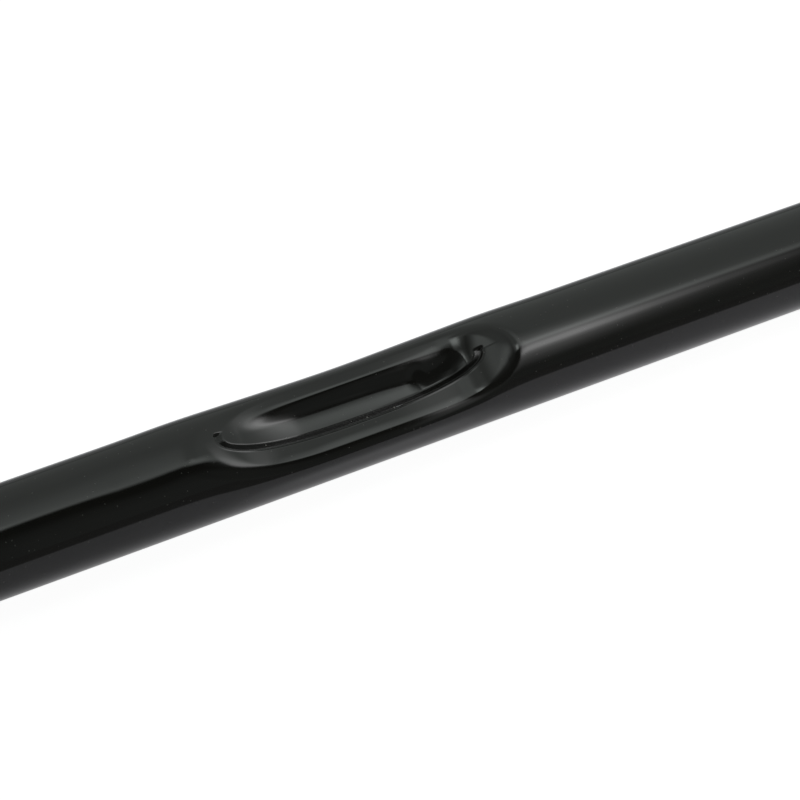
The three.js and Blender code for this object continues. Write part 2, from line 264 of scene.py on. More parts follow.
def buildWorld():
    world = bpy.data.worlds.new("softStudio")
    world.use_nodes = True
    scene.world = world
    tree = world.node_tree
    tree.nodes.clear()
    place = addNode(tree, "ShaderNodeTexCoord", (-7, 0))
    split = addNode(tree, "ShaderNodeSeparateXYZ", (-6, 0))
    link(tree, place.outputs["Generated"], split.inputs[0])
    front = math2(tree, "MULTIPLY", split.outputs["Y"], -1, (-5, 0))
    angle = math2(tree, "ARCTAN2", split.outputs["Z"], front, (-4, 0))
    turn = math2(tree, "DIVIDE", angle, math.pi, (-3, 0))
    colour = None
    before = None
    for row, (sideways, stops) in enumerate(studio["columns"]):
        ramp = addNode(tree, "ShaderNodeValToRGB", (-2, row * 1.5))
        setRamp(ramp, [(degrees / 180, value / studio["brightest"]) for degrees, value in stops])
        link(tree, turn, ramp.inputs[0])
        if colour is None:
            colour = ramp.outputs[0]
        else:
            share = mapRange(tree, split.outputs["X"], before, sideways, (-1, row * 1.5), "SMOOTHSTEP")
            colour = mixColour(tree, share.outputs[0], colour, ramp.outputs[0], (0, row * 1.5))
        before = sideways
    tinted = mixColour(tree, 1, colour, studio["tint"], (0, -2), blend_type="MULTIPLY")
    soft = addNode(tree, "ShaderNodeBackground", (0, 0))
    soft.inputs["Strength"].default_value = studio["brightest"]
    link(tree, tinted, soft.inputs["Color"])
    plain = addNode(tree, "ShaderNodeBackground", (0, 1))
    plain.inputs["Color"].default_value = (1, 1, 1, 1)
    path = addNode(tree, "ShaderNodeLightPath", (0, -2))
    choose = addNode(tree, "ShaderNodeMixShader", (1, 0))
    link(tree, path.outputs["Is Camera Ray"], choose.inputs[0])
    link(tree, soft.outputs[0], choose.inputs[1])
    link(tree, plain.outputs[0], choose.inputs[2])
    out = addNode(tree, "ShaderNodeOutputWorld", (2, 0))
    link(tree, choose.outputs[0], out.inputs[0])


def buildFloor():
    size = 12
    mesh = bpy.data.meshes.new("studioFloor")
    corners = [(-size, -size, 0), (size, -size, 0), (size, size, 0), (-size, size, 0)]
    mesh.from_pydata(corners, [], [(0, 1, 2, 3)])
    floor = bpy.data.objects.new("studioFloor", mesh)
    scene.collection.objects.link(floor)
    material = bpy.data.materials.new("whiteSheet")
    material.use_nodes = True
    tree = material.node_tree
    tree.nodes.clear()
    place = addNode(tree, "ShaderNodeTexCoord", (-5, 0))
    split = addNode(tree, "ShaderNodeSeparateXYZ", (-4, 0))
    link(tree, place.outputs["Object"], split.inputs[0])
    sideways = split.outputs["Y"]
    frontEdge, backEdge = -studio["floorFrontEdge"], studio["floorBackEdge"]
    edge = mapRange(tree, sideways, frontEdge - 14 * mm, frontEdge + 2 * mm, (-3, 0), "SMOOTHSTEP")
    sheet = mixColour(tree, edge.outputs[0], studio["floorDark"], studio["floorWhite"], (-2, 0))
    behind = mapRange(tree, sideways, backEdge - 50 * mm, backEdge + 50 * mm, (-3, 2), "SMOOTHSTEP")
    whole = mixColour(tree, behind.outputs[0], sheet, studio["floorBack"], (-1.5, 0))
    matte = addNode(tree, "ShaderNodeBsdfDiffuse", (-1, 0))
    link(tree, whole, matte.inputs["Color"])
    aside = addNode(tree, "ShaderNodeMath", (-3, 4), operation="ABSOLUTE")
    link(tree, sideways, aside.inputs[0])
    # painted light: the glow rises from the sheet's even glow to a painted pool right under the bar, where
    # the bar's shadow falls
    under = mapRange(tree, aside.outputs[0], 26 * mm, 4 * mm, (-2, 4), "SMOOTHSTEP")
    under.inputs["To Min"].default_value = studio["sheetGlow"]
    under.inputs["To Max"].default_value = studio["paintedUnderGlow"]
    sheetAndPaintedGlow = addNode(tree, "ShaderNodeEmission", (-1, 4))
    link(tree, under.outputs[0], sheetAndPaintedGlow.inputs["Strength"])
    seen = addNode(tree, "ShaderNodeAddShader", (0, 0))
    link(tree, matte.outputs[0], seen.inputs[0])
    link(tree, sheetAndPaintedGlow.outputs[0], seen.inputs[1])
    paper = addNode(tree, "ShaderNodeBsdfDiffuse", (-1, 1))
    paper.inputs["Color"].default_value = (0.22, 0.22, 0.22, 1)
    glow = addNode(tree, "ShaderNodeEmission", (-1, 2))
    glow.inputs["Strength"].default_value = studio["floorGlow"]
    lit = addNode(tree, "ShaderNodeAddShader", (0, 1))
    link(tree, paper.outputs[0], lit.inputs[0])
    link(tree, glow.outputs[0], lit.inputs[1])
    path = addNode(tree, "ShaderNodeLightPath", (0, -2))
    choose = addNode(tree, "ShaderNodeMixShader", (1, 0))
    link(tree, path.outputs["Is Camera Ray"], choose.inputs[0])
    link(tree, seen.outputs[0], choose.inputs[1])
    link(tree, lit.outputs[0], choose.inputs[2])
    out = addNode(tree, "ShaderNodeOutputMaterial", (2, 0))
    link(tree, choose.outputs[0], out.inputs[0])
    mesh.materials.append(material)


softbox = {
    # a small lamp near the bar, which only the grip side of the tube mirrors
    "fromDent": 80 * mm,        # the place on the tube that mirrors its middle
    "towards": (0.42, -0.571, 0.705),
    "away": 250 * mm,
    "halfLong": 90 * mm,
    "halfHigh": 190 * mm,
    "strength": 4.0,
    "longwise": [(0.0, 0), (0.07, 0), (0.17, 0.78), (0.28, 1), (0.42, 1), (0.6, 0.45), (0.76, 0.22),
                 (0.95, 0.1), (1.0, 0)],
    "crosswise": [(0.0, 0), (0.1, 0.02), (0.25, 0.12), (0.36, 0.26), (0.42, 0.5), (0.475, 1), (0.53, 1),
                  (0.6, 0.58), (0.7, 0.24), (0.85, 0.06), (1.0, 0)],
}


def buildSoftbox():
    aimed = Vector(softbox["towards"]).normalized()
    middle = Vector((dentX + softbox["fromDent"], 0, axisHeight + 12 * mm)) + aimed * softbox["away"]
    long, high = softbox["halfLong"], softbox["halfHigh"]
    mesh = bpy.data.meshes.new("softbox")
    corners = [(-long, -high, 0), (long, -high, 0), (long, high, 0), (-long, high, 0)]
    mesh.from_pydata(corners, [], [(0, 1, 2, 3)])
    lamp = bpy.data.objects.new("softbox", mesh)
    along = Vector((1, 0, 0))
    up = Vector((0, -aimed.z, aimed.y)).normalized() * -1
    facing = along.cross(up)
    lamp.matrix_world = Matrix((along, up, facing)).transposed().to_4x4()
    lamp.location = middle
    scene.collection.objects.link(lamp)
    material = bpy.data.materials.new("softboxCloth")
    material.use_nodes = True
    tree = material.node_tree
    tree.nodes.clear()
    place = addNode(tree, "ShaderNodeTexCoord", (-5, 0))
    split = addNode(tree, "ShaderNodeSeparateXYZ", (-4, 0))
    link(tree, place.outputs["Generated"], split.inputs[0])
    ways = []
    for axis, stops in (("X", softbox["longwise"]), ("Y", softbox["crosswise"])):
        ramp = addNode(tree, "ShaderNodeValToRGB", (-3, len(ways) * 2))
        setRamp(ramp, stops)
        link(tree, split.outputs[axis], ramp.inputs[0])
        ways.append(ramp.outputs[0])
    strength = math2(tree, "MULTIPLY", math2(tree, "MULTIPLY", *ways), softbox["strength"], (-1, 0))
    light = addNode(tree, "ShaderNodeEmission", (0, 0))
    link(tree, strength, light.inputs["Strength"])
    clear = addNode(tree, "ShaderNodeBsdfTransparent", (0, 1))
    both = addNode(tree, "ShaderNodeAddShader", (1, 0))
    link(tree, light.outputs[0], both.inputs[0])
    link(tree, clear.outputs[0], both.inputs[1])
    path = addNode(tree, "ShaderNodeLightPath", (0, -2))
    choose = addNode(tree, "ShaderNodeMixShader", (2, 0))
    link(tree, path.outputs["Is Camera Ray"], choose.inputs[0])
    link(tree, both.outputs[0], choose.inputs[1])
    link(tree, clear.outputs[0], choose.inputs[2])
    out = addNode(tree, "ShaderNodeOutputMaterial", (3, 0))
    link(tree, choose.outputs[0], out.inputs[0])
    mesh.materials.append(material)


buildWorld()
buildFloor()
buildSoftbox()
print("studio built")


# shared surface effects, each a node group that every finish places with its own values

def startGroup(name, inputs, output):
    tree = bpy.data.node_groups.new(name, "ShaderNodeTree")
    for label, kind, value in inputs:
        socket = tree.interface.new_socket(label, in_out="INPUT", socket_type="NodeSocket" + kind)
        socket.default_value = value
    tree.interface.new_socket(output[0], in_out="OUTPUT", socket_type="NodeSocket" + output[1])
    return tree, tree.nodes.new("NodeGroupInput"), tree.nodes.new("NodeGroupOutput")


def noise(tree, where, scale, detail, place=(0, 0)):
    node = addNode(tree, "ShaderNodeTexNoise", place)
    node.inputs["Detail"].default_value = detail
    node.inputs["Roughness"].default_value = 0.6
    link(tree, where, node.inputs["Vector"])
    if isinstance(scale, (int, float)):
        node.inputs["Scale"].default_value = scale
    else:
        link(tree, scale, node.inputs["Scale"])
    return node.outputs[0]


def specks(tree, where, scale, size, place=(0, 0)):
    # 1 on small scattered dots, 0 between them; only some of the cells have one
    cells = addNode(tree, "ShaderNodeTexVoronoi", place)
    link(tree, where, cells.inputs["Vector"])
    link(tree, scale, cells.inputs["Scale"])
    dot = math2(tree, "LESS_THAN", cells.outputs["Distance"], size, (place[0] + 1, place[1]))
    split = addNode(tree, "ShaderNodeSeparateColor", (place[0] + 1, place[1] + 1))
    link(tree, cells.outputs["Color"], split.inputs[0])
    some = math2(tree, "GREATER_THAN", split.outputs[0], 0.72, (place[0] + 2, place[1] + 1))
    return math2(tree, "MULTIPLY", dot, some, (place[0] + 3, place[1]))


def wornToneGroup():
    # colour that wanders a little, bare metal on sharp edges, dust in small dots
    tree, given, result = startGroup("wornTone", [
        ("Colour", "Color", (0.5, 0.5, 0.5, 1)),
        ("Second Colour", "Color", (0.5, 0.5, 0.5, 1)),
        ("Mottle Scale", "Float", 60),
        ("Worn Colour", "Color", (0.6, 0.6, 0.6, 1)),
        ("Edge Wear", "Float", 0),
        ("Dust Colour", "Color", (0.5, 0.5, 0.5, 1)),
        ("Dust", "Float", 0),
        ("Dust Scale", "Float", 900),
        ("Torn", "Float", 0),
    ], ("Colour", "Color"))
    where = addNode(tree, "ShaderNodeTexCoord", (-8, 0)).outputs["Object"]
    patches = noise(tree, where, given.outputs["Mottle Scale"], 5, (-6, 0))
    spread = mapRange(tree, patches, 0.35, 0.65, (-5, 0))
    first, second = given.outputs["Colour"], given.outputs["Second Colour"]
    tone = mixColour(tree, spread.outputs[0], first, second, (-4, 0))
    ridge = addNode(tree, "ShaderNodeNewGeometry", (-6, 3))
    edge = mapRange(tree, ridge.outputs["Pointiness"], 0.52, 0.60, (-5, 3))
    chips = noise(tree, where, 420, 6, (-6, 4))
    ragged = math2(tree, "MULTIPLY", edge.outputs[0], chips, (-4, 3))
    amount = math2(tree, "MULTIPLY", ragged, given.outputs["Edge Wear"], (-3, 3))
    worn = mixColour(tree, amount, tone, given.outputs["Worn Colour"], (-2, 0))
    dots = specks(tree, where, given.outputs["Dust Scale"], 0.13, (-6, 6))
    # torn places hold seven times the dust
    more = math2(tree, "MULTIPLY", given.outputs["Torn"], 6, (-3, 7))
    extra = math2(tree, "MULTIPLY", more, given.outputs["Dust"], (-2, 8))
    share = math2(tree, "ADD", given.outputs["Dust"], extra, (-2, 7))
    settled = math2(tree, "MULTIPLY", dots, share, (-2, 6))
    dusty = mixColour(tree, settled, worn, given.outputs["Dust Colour"], (-1, 0), clamp_factor=True)
    link(tree, dusty, result.inputs[0])
    return tree


def unevenGlossGroup():
    # roughness that varies in patches, with drawn-out smears and torn places of their own
    tree, given, result = startGroup("unevenGloss", [
        ("Roughness", "Float", 0.4),
        ("Spread", "Float", 0.1),
        ("Patch Scale", "Float", 80),
        ("Smears", "Float", 0),
        ("Torn", "Float", 0),
        ("Torn Roughness", "Float", 0.5),
    ], ("Roughness", "Float"))
    where = addNode(tree, "ShaderNodeTexCoord", (-8, 0)).outputs["Object"]
    patches = noise(tree, where, given.outputs["Patch Scale"], 6, (-6, 0))
    centred = math2(tree, "SUBTRACT", patches, 0.5, (-5, 0))
    varied = math2(tree, "MULTIPLY", centred, given.outputs["Spread"], (-4, 0))
    stretch = addNode(tree, "ShaderNodeMapping", (-7, 2))
    stretch.inputs["Scale"].default_value = (0.12, 1, 1)
    link(tree, where, stretch.inputs["Vector"])
    wipes = noise(tree, stretch.outputs[0], 260, 4, (-6, 2))
    strong = mapRange(tree, wipes, 0.56, 0.75, (-5, 2))
    smear = math2(tree, "MULTIPLY", strong.outputs[0], given.outputs["Smears"], (-4, 2))
    patchy = math2(tree, "ADD", given.outputs["Roughness"], varied, (-3, 0))
    total = math2(tree, "ADD", patchy, smear, (-2, 0))
    torn = addNode(tree, "ShaderNodeMix", (-1, 0), data_type="FLOAT")
    link(tree, given.outputs["Torn"], torn.inputs[0])
    link(tree, total, torn.inputs[2])
    link(tree, given.outputs["Torn Roughness"], torn.inputs[3])
    link(tree, torn.outputs[0], result.inputs[0])
    return tree


def fineReliefGroup():
    # height in millimetres: an even grain, drawn-out marks, nibs of dust under the finish, torn places
    tree, given, result = startGroup("fineRelief", [
        ("Grain", "Float", 0.002),
        ("Grain Scale", "Float", 900),
        ("Marks", "Float", 0),
        ("Mark Scale", "Float", 400),
        ("Mark Stretch", "Vector", (0.05, 1, 1)),
        ("Nibs", "Float", 0),
        ("Nib Scale", "Float", 500),
        ("Torn", "Float", 0),
        ("Torn Relief", "Float", 0.05),
    ], ("Height", "Float"))
    where = addNode(tree, "ShaderNodeTexCoord", (-8, 0)).outputs["Object"]
    grain = noise(tree, where, given.outputs["Grain Scale"], 3, (-6, 0))
    grain = math2(tree, "MULTIPLY", grain, given.outputs["Grain"], (-4, 0))
    stretch = addNode(tree, "ShaderNodeVectorMath", (-7, 2), operation="MULTIPLY")
    link(tree, where, stretch.inputs[0])
    link(tree, given.outputs["Mark Stretch"], stretch.inputs[1])
    marks = noise(tree, stretch.outputs[0], given.outputs["Mark Scale"], 5, (-6, 2))
    marks = math2(tree, "MULTIPLY", marks, given.outputs["Marks"], (-4, 2))
    nibs = specks(tree, where, given.outputs["Nib Scale"], 0.1, (-7, 4))
    nibs = math2(tree, "MULTIPLY", nibs, given.outputs["Nibs"], (-3, 4))
    coarse = noise(tree, where, 2400, 3, (-6, 6))
    coarse = math2(tree, "MULTIPLY", coarse, given.outputs["Torn Relief"], (-4, 6))
    coarse = math2(tree, "MULTIPLY", coarse, given.outputs["Torn"], (-3, 6))
    even = math2(tree, "ADD", grain, marks, (-2, 0))
    scattered = math2(tree, "ADD", nibs, coarse, (-2, 4))
    total = math2(tree, "ADD", even, scattered, (-1, 0))
    link(tree, total, result.inputs[0])
    return tree


wornTone = wornToneGroup()
unevenGloss = unevenGlossGroup()
fineRelief = fineReliefGroup()


def useGroup(tree, group, place, values):
    node = addNode(tree, "ShaderNodeGroup", place, node_tree=group)
    for name, value in values.items():
        node.inputs[name].default_value = value
    return node


def makeFinish(name, shaderValues, tone, gloss, relief, tornFrom=None):
    material = bpy.data.materials.new(name)
    material.use_nodes = True
    tree = material.node_tree
    tree.nodes.clear()
    shader = addNode(tree, "ShaderNodeBsdfPrincipled", (2, 0))
    for label, value in shaderValues.items():
        shader.inputs[label].default_value = value
    colour = useGroup(tree, wornTone, (0, 0), tone)
    roughness = useGroup(tree, unevenGloss, (0, 2), gloss)
    height = useGroup(tree, fineRelief, (0, 4), relief)
    if tornFrom:
        attribute = addNode(tree, "ShaderNodeAttribute", (-2, 2), attribute_name=tornFrom)
        for group in (colour, roughness, height):
            link(tree, attribute.outputs["Fac"], group.inputs["Torn"])
    bump = addNode(tree, "ShaderNodeBump", (1, 4))
    bump.inputs["Distance"].default_value = 1 * mm
    link(tree, colour.outputs[0], shader.inputs["Base Color"])
    link(tree, roughness.outputs[0], shader.inputs["Roughness"])
    link(tree, height.outputs[0], bump.inputs["Height"])
    link(tree, bump.outputs[0], shader.inputs["Normal"])
    out = addNode(tree, "ShaderNodeOutputMaterial", (4, 0))
    link(tree, shader.outputs[0], out.inputs[0])
    return material


blackEnamel = makeFinish(
    "blackEnamel",
    {"Metallic": 0.0, "IOR": 1.5},
    {"Colour": (0.0034, 0.0028, 0.0016, 1), "Second Colour": (0.0024, 0.0020, 0.0012, 1),
     "Mottle Scale": 90, "Dust Colour": (0.30, 0.29, 0.27, 1), "Dust": 0.12, "Dust Scale": 640},
    {"Roughness": 0.07, "Spread": 0.04, "Patch Scale": 160, "Smears": 0.05, "Torn Roughness": 0.2},
    {"Grain": 0.0022, "Grain Scale": 560, "Marks": 0.0012, "Mark Scale": 500,
     "Nibs": 0.004, "Nib Scale": 300, "Torn Relief": 0.05},
    tornFrom="roughPaint")
satinChrome = makeFinish(
    "satinChrome",
    {"Metallic": 1.0},
    {"Colour": (0.66, 0.67, 0.69, 1), "Second Colour": (0.56, 0.57, 0.59, 1), "Mottle Scale": 70,
     "Worn Colour": (0.80, 0.80, 0.81, 1), "Edge Wear": 0.7,
     "Dust Colour": (0.25, 0.23, 0.20, 1), "Dust": 0.15},
    {"Roughness": 0.20, "Spread": 0.16, "Patch Scale": 120, "Smears": 0.12},
    {"Grain": 0.010, "Grain Scale": 330, "Marks": 0.004, "Mark Scale": 500,
     "Nibs": -0.01, "Nib Scale": 420})
groundSteel = makeFinish(
    "groundSteel",
    {"Metallic": 1.0},
    {"Colour": (0.47, 0.47, 0.48, 1), "Second Colour": (0.38, 0.38, 0.385, 1), "Mottle Scale": 150,
     "Worn Colour": (0.66, 0.66, 0.66, 1), "Edge Wear": 0.6,
     "Dust Colour": (0.12, 0.08, 0.05, 1), "Dust": 0.2},
    {"Roughness": 0.30, "Spread": 0.14, "Patch Scale": 200, "Smears": 0.1},
    {"Grain": 0.002, "Grain Scale": 1500, "Marks": 0.004, "Mark Scale": 900,
     "Mark Stretch": (1, 0.08, 0.08)})
springWire = makeFinish(
    "springWire",
    {"Metallic": 1.0},
    {"Colour": (0.56, 0.57, 0.58, 1), "Second Colour": (0.46, 0.46, 0.47, 1), "Mottle Scale": 300,
     "Dust Colour": (0.15, 0.11, 0.07, 1), "Dust": 0.2},
    {"Roughness": 0.26, "Spread": 0.12, "Patch Scale": 500},
    {"Grain": 0.002, "Grain Scale": 2500, "Marks": 0.003, "Mark Scale": 1600})
blackOxide = makeFinish(
    "blackOxide",
    {"Metallic": 0.85},
    {"Colour": (0.052, 0.052, 0.056, 1), "Second Colour": (0.036, 0.034, 0.034, 1), "Mottle Scale": 260,
     "Worn Colour": (0.45, 0.44, 0.43, 1), "Edge Wear": 0.9,
     "Dust Colour": (0.2, 0.18, 0.15, 1), "Dust": 0.2},
    {"Roughness": 0.42, "Spread": 0.2, "Patch Scale": 260, "Smears": 0.08},
    {"Grain": 0.006, "Grain Scale": 1300, "Marks": 0.002, "Mark Scale": 700})
ribbedRubber = makeFinish(
    "ribbedRubber",
    {"Metallic": 0.0, "IOR": 1.47},
    {"Colour": (0.021, 0.021, 0.021, 1), "Second Colour": (0.030, 0.029, 0.028, 1), "Mottle Scale": 110,
     "Worn Colour": (0.055, 0.054, 0.052, 1), "Edge Wear": 0.8,
     "Dust Colour": (0.20, 0.19, 0.17, 1), "Dust": 0.35},
    {"Roughness": 0.72, "Spread": 0.2, "Patch Scale": 140, "Smears": -0.12},
    {"Grain": 0.030, "Grain Scale": 900, "Marks": 0.006, "Mark Scale": 300,
     "Nibs": 0.01, "Nib Scale": 600})
mouldedPlastic = makeFinish(
    "mouldedPlastic",
    {"Metallic": 0.0, "IOR": 1.49},
    {"Colour": (0.028, 0.028, 0.029, 1), "Second Colour": (0.034, 0.034, 0.034, 1), "Mottle Scale": 90,
     "Worn Colour": (0.10, 0.10, 0.10, 1), "Edge Wear": 0.7,
     "Dust Colour": (0.22, 0.21, 0.19, 1), "Dust": 0.2},
    {"Roughness": 0.46, "Spread": 0.16, "Patch Scale": 120, "Smears": 0.08},
    {"Grain": 0.012, "Grain Scale": 1500, "Marks": 0.003, "Mark Scale": 600})
print("finishes made")


# the tube and its dent

def insideLip(s, across):
    # distance inside the sheared outline, a long superellipse; negative outside it
    length, width, power = dent["lipLength"], dent["lipWidth"], dent["lipPower"]
    x = abs(s) / length
    y = abs(across - dent["lipMiddle"]) / width
    rho = max((x ** power + y ** power) ** (1 / power), 1e-4)
    steepness = math.hypot(x ** (power - 1) / length, y ** (power - 1) / width) / rho ** (power - 1)
    return (1 - rho) / steepness


def hollowShare(s, across):
    # how much of the hollow's full depth is there at this place along it: the gentle end deepens
    # over its whole length, and the steep end climbs evenly from a crease to a crisp round edge
    first, last = dent["easyEnd"]
    u = max(0.0, s - first) / (last - first)
    deepening = 1 - max(0.0, 1 - u * u / (u + 0.03)) ** 2
    sideways = min(1.0, max(0.0, (across - 1 * mm) / (5.9 * mm)))
    end = dent["steepEnd"] - 7.5 * mm * (1 - math.sqrt(1 - sideways ** 2))
    climb = min(1.0, max(0.0, (s - dent["scoop"]) / (end - dent["scoop"])))
    crease = 0.12
    climb = min(1.0, max(0.0, climb - crease * (1 - math.exp(-climb / crease))) / (1 - crease))
    return deepening, 1 - 0.72 * climb - 0.28 * climb ** 8


def smoothSide(s, across):
    # a shoulder that leans in, then the upper wall, then a floor that rises a little towards it
    deepening, left = hollowShare(s, across)
    run = dent["wallRun"] + 1.2 * mm * ease(4 * mm, 26 * mm, s)
    t = min(1.0, max(0.0, (dent["rim"] - across) / run))
    wall = t * t * t * (10 - 15 * t + 6 * t * t)
    rise = (across / mm + 0.4) ** 2 * 0.0095 * mm * ease(-36 * mm, -17 * mm, s)
    rise += 0.06 * max(0.0, across + 3.5 * mm) * ease(17 * mm, 23 * mm, s)
    q = max(0.0, dent["shoulder"] + 0.4 * mm * ease(20 * mm, 32 * mm, s) - across)
    lean, reach = dent["shoulderSlope"], dent["shoulderRun"]
    shoulder = lean / reach / 2 * q * q if q < reach else lean * (q - reach / 2)
    shoulder *= ease(-38 * mm, -15 * mm, s) * (1 - ease(35 * mm, 45 * mm, s))
    pan = ease(-41 * mm, -32 * mm, s) * (1 - ease(34 * mm, 40 * mm, s))
    pan *= 0.12 * mm * (1 - ease(2 * mm, 7 * mm, across))
    return (dent["trough"] * deepening - rise) * wall * left + shoulder + pan


def dentDepth(s, across):
    # how far the wall is pressed in below the flattened land, and how torn the paint is there
    inside = insideLip(s, across)
    smooth = smoothSide(s, across)
    # the torn side follows the lower lip and hooks round both tips
    hook = 4.4 * mm if s < 0 else 3.2 * mm
    torn = 1 - ease(hook - 1.2 * mm, hook, across)
    share = min(1.0, max(0.0, 1 - inside / dent["ledge"])) * ease(-0.4 * mm, 0.1 * mm, inside)
    smooth += dent["notch"] * torn * share ** 1.15
    crest = math.exp(-((inside - dent["ledge"]) / (0.25 * mm)) ** 2) * ease(4 * mm, 20 * mm, s)
    smooth -= dent["crest"] * crest * torn * (1 - ease(34 * mm, 37 * mm, s))
    sheared = max(0.0, inside) * dent["lipSlope"] + (1 - torn) * 10 * mm
    depth = max(0.0, softLower(sheared, smooth, 0.2 * mm))
    rough = torn * ease(0, 0.15 * mm, inside) * (1 - ease(0.85 * dent["ledge"], dent["ledge"], inside))
    burr = 0.06 * mm * math.exp(-((inside + 0.15 * mm) / (0.18 * mm)) ** 2) * torn
    return depth - burr, rough


def pressedWall(s, angle, radius):
    # (across, height) of a wall point in the dent's own directions, and the paint's roughness
    full = handle["radius"]
    far = ease(0.4, 1.0, angle) * (1 - ease(1.9, 2.7, angle))
    dip = dent["sideDip"] * math.exp(-(s / (24 * mm)) ** 2)
    dip -= dent["sideBulge"] * math.exp(-((abs(s) - 46 * mm) / (12 * mm)) ** 2)
    cheek = dent["cheek"] * math.exp(-((angle + 0.98) / 0.2) ** 2 - (s / (37 * mm)) ** 4)
    across = (radius + cheek - dip * far) * math.sin(angle)
    height = (radius + cheek - dip * far) * math.cos(angle)
    facing = math.cos(angle)
    if facing <= 0:
        return across, height, 0.0
    headReach, gripReach = dent["landReach"]
    if s < 0:
        pressed = math.exp(-(s / headReach) ** 4)
        tail = dent["tail"] * ease(-88 * mm, -60 * mm, s)
        tail *= 1 - 0.7 * math.exp(-((s + 46 * mm) / (9 * mm)) ** 2)
        flattened = pressed + tail * (1 - pressed)
    else:
        flattened = math.exp(-(s / gripReach) ** 8) * (1 - ease(42 * mm, 58 * mm, s))
    k = dent["cornerRound"] + dent["endRound"][0 if s < 0 else 1] * ease(27 * mm, 50 * mm, abs(s))
    land = full + k - (full + k - dent["landHeight"]) * flattened
    crown = dent["landCrown"] / 2 * ease(0.5, 0.95, flattened)
    crownStart = 2.9 * mm - math.sqrt(max(0.0, full ** 2 - min(land, full) ** 2))
    land -= crown * max(0.0, crownStart - full * math.sin(angle)) ** 2
    wall = (full + cheek) * facing
    drop = (wall - softLower(wall, land, k)) * ease(0, 0.25, facing)
    depth, rough = dentDepth(s, full * math.sin(angle))
    return across, height - drop - depth, rough


def wallPoint(x, angle, radius):
    # the same point in the frame: the dent's directions lean by its tilt
    across, height, paint = pressedWall(x - dentX, angle, radius)
    tilt = math.radians(dent["tilt"])
    y = across * math.cos(tilt) - height * math.sin(tilt)
    z = across * math.sin(tilt) + height * math.cos(tilt) + axisHeight
    return (x, y, z), paint


def ringPlaces(start, end, fine):
    # places along the tube: close together in the dent, closest at its two tips
    places = [start]
    x = start
    while x < end - 0.1 * mm:
        s = abs(x - dentX)
        if 28 * mm < s < 44 * mm:
            step = 0.25 * mm
        elif s <= 28 * mm:
            step = 0.5 * mm
        elif s < 62 * mm:
            step = 1.2 * mm
        else:
            step = 5 * mm
        x = min(end, x + step * fine)
        places.append(x)
    return places


def ringAngles():
    half = [0.0]
    while half[-1] < 176:
        step = 0.5 if half[-1] < 48 else min(4.0, 0.5 + (half[-1] - 48) * 0.15)
        half.append(half[-1] + step)
    half = [a * 180 / half[-1] if a > 48 else a for a in half]
    half[-1] = 180.0
    return [math.radians(a) for a in half] + [-math.radians(a) for a in reversed(half[1:-1])]


def makeTube():
    radius, wall, lip = handle["radius"], handle["wall"], handle["lip"]
    angles = ringAngles()
    outer = [(tubeStart, radius - lip), (tubeStart + lip, radius)]
    outer += [(x, radius) for x in ringPlaces(tubeStart + 2 * lip, tubeEnd - 2 * lip, 1)]
    outer += [(tubeEnd - lip, radius), (tubeEnd, radius - lip)]
    inner = [(x, radius - wall) for x in ringPlaces(tubeStart, tubeEnd, 5)]
    profile = outer + inner[::-1]
    mesh = bmesh.new()
    rough = mesh.verts.layers.float.new("roughPaint")
    rings = []
    for x, r in profile:
        ring = []
        for angle in angles:
            point, paint = wallPoint(x, angle, r)
            vertex = mesh.verts.new(point)
            vertex[rough] = paint
            ring.append(vertex)
        rings.append(ring)
    count = len(angles)
    for i, ring in enumerate(rings):
        following = rings[(i + 1) % len(rings)]
        for j in range(count):
            k = (j + 1) % count
            mesh.faces.new((ring[j], following[j], following[k], ring[k]))
    bmesh.ops.recalc_face_normals(mesh, faces=mesh.faces[:])
    return finishMesh("enamelledTube", mesh, blackEnamel)


def finishMesh(name, mesh, material, sharp=None):
    data = bpy.data.meshes.new(name)
    mesh.to_mesh(data)
    mesh.free()
    data.polygons.foreach_set("use_smooth", [True] * len(data.polygons))
    piece = bpy.data.objects.new(name, data)
    scene.collection.objects.link(piece)
    data.materials.append(material)
    if sharp:
        data.set_sharp_from_angle(angle=math.radians(sharp))
    return piece


def settle(piece, body, node):
    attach(piece, body)
    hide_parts(node)
    print(node, "made:", len(piece.data.polygons), "faces")


settle(makeTube(), "handle", "handle_tube")


# turned and drawn shapes for the other pieces

def roundCorners(points, radius, closed=False, steps=4):
    # swaps every corner of a profile for a small arc
    rounded = []
    count = len(points)
    for i, corner in enumerate(points):
        if not closed and i in (0, count - 1):
            rounded.append(corner)
            continue
        here = Vector(corner)
        before = Vector(points[i - 1]) - here
        after = Vector(points[(i + 1) % count]) - here
        reach = min(radius, before.length * 0.45, after.length * 0.45)
        bend = math.pi - before.angle(after)
        if bend < 0.05:
            rounded.append(corner)
            continue
        a = here + before.normalized() * reach
        b = here + after.normalized() * reach
        for k in range(steps + 1):
            t = k / steps
            rounded.append(tuple(a * (1 - t) ** 2 + here * 2 * t * (1 - t) + b * t * t))
    return rounded


def turned(profile, axis="X", segments=96, centre=(0, 0, 0), shape=None):
    # spins (place along the axis, radius) pairs; a profile that doesn't start on the axis is a closed ring
    mesh = bmesh.new()
    solid = profile[0][1] < 1e-7
    rings = []
    for along, radius in profile:
        if radius < 1e-7:
            rings.append([mesh.verts.new(placed(axis, centre, along, 0, 0))])
            continue
        ring = []
        for k in range(segments):
            angle = 2 * math.pi * k / segments
            r = radius if shape is None else shape(along, radius, angle)
            u, v = r * math.cos(angle), r * math.sin(angle)
            ring.append(mesh.verts.new(placed(axis, centre, along, u, v)))
        rings.append(ring)
    pairs = list(zip(rings, rings[1:]))
    if not solid:
        pairs.append((rings[-1], rings[0]))
    for one, two in pairs:
        joinRings(mesh, one, two)
    bmesh.ops.recalc_face_normals(mesh, faces=mesh.faces[:])
    return mesh


def placed(axis, centre, along, u, v):
    x, y, z = centre
    if axis == "X":
        return (x + along, y + u, z + v)
    if axis == "Y":
        return (x + v, y + along, z + u)
    return (x + u, y + v, z + along)


